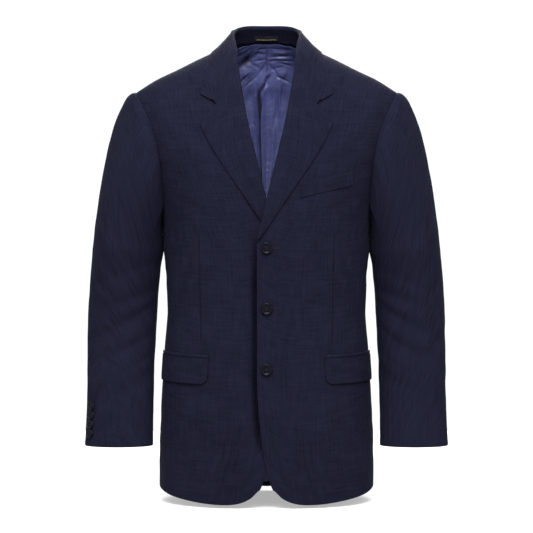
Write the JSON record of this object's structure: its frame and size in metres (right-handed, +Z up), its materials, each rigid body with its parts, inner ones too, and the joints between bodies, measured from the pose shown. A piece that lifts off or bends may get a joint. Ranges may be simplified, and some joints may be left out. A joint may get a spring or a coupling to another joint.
{
  "type": "suit jacket",
  "caption": "Navy linen single-breasted suit jacket with notch lapels, a breast welt and two flap pockets.",
  "frame": {"origin": "middle of the neck, level with the inner ends of the shoulder seams, where the wearer's neck and shoulders hold the jacket", "axes": "+Z up along the centre back, -Y out of the jacket's front, +X towards the wearer's left sleeve"},
  "size_m": [0.6255, 0.2771, 0.8297],
  "materials": {
    "navy_linen": "matte plain-weave linen",
    "satin_lining": "satin lining with a soft sheen",
    "woven_label": "matte woven label",
    "horn_buttons": "semi-gloss horn-like resin"
  },
  "bodies": {
    "root": {"left_front": "navy_linen", "left_side_body": "navy_linen", "left_back": "navy_linen", "left_top_sleeve": "navy_linen", "left_under_sleeve": "navy_linen", "left_lapel": "navy_linen", "right_front": "navy_linen", "right_side_body": "navy_linen", "right_back": "navy_linen", "right_top_sleeve": "navy_linen", "right_under_sleeve": "navy_linen", "right_lapel": "navy_linen", "collar": "navy_linen", "left_back_lining": "satin_lining", "right_back_lining": "satin_lining", "neck_label": "woven_label", "breast_welt": "navy_linen", "left_flap": "navy_linen", "left_jetting": "navy_linen", "right_flap": "navy_linen", "right_jetting": "navy_linen", "front_button_1": "horn_buttons", "front_button_2": "horn_buttons", "front_button_3": "horn_buttons", "left_cuff_button_1": "horn_buttons", "left_cuff_button_2": "horn_buttons", "left_cuff_button_3": "horn_buttons", "left_cuff_button_4": "horn_buttons", "right_cuff_button_1": "horn_buttons", "right_cuff_button_2": "horn_buttons", "right_cuff_button_3": "horn_buttons", "right_cuff_button_4": "horn_buttons"}
  },
  "joints": []
}
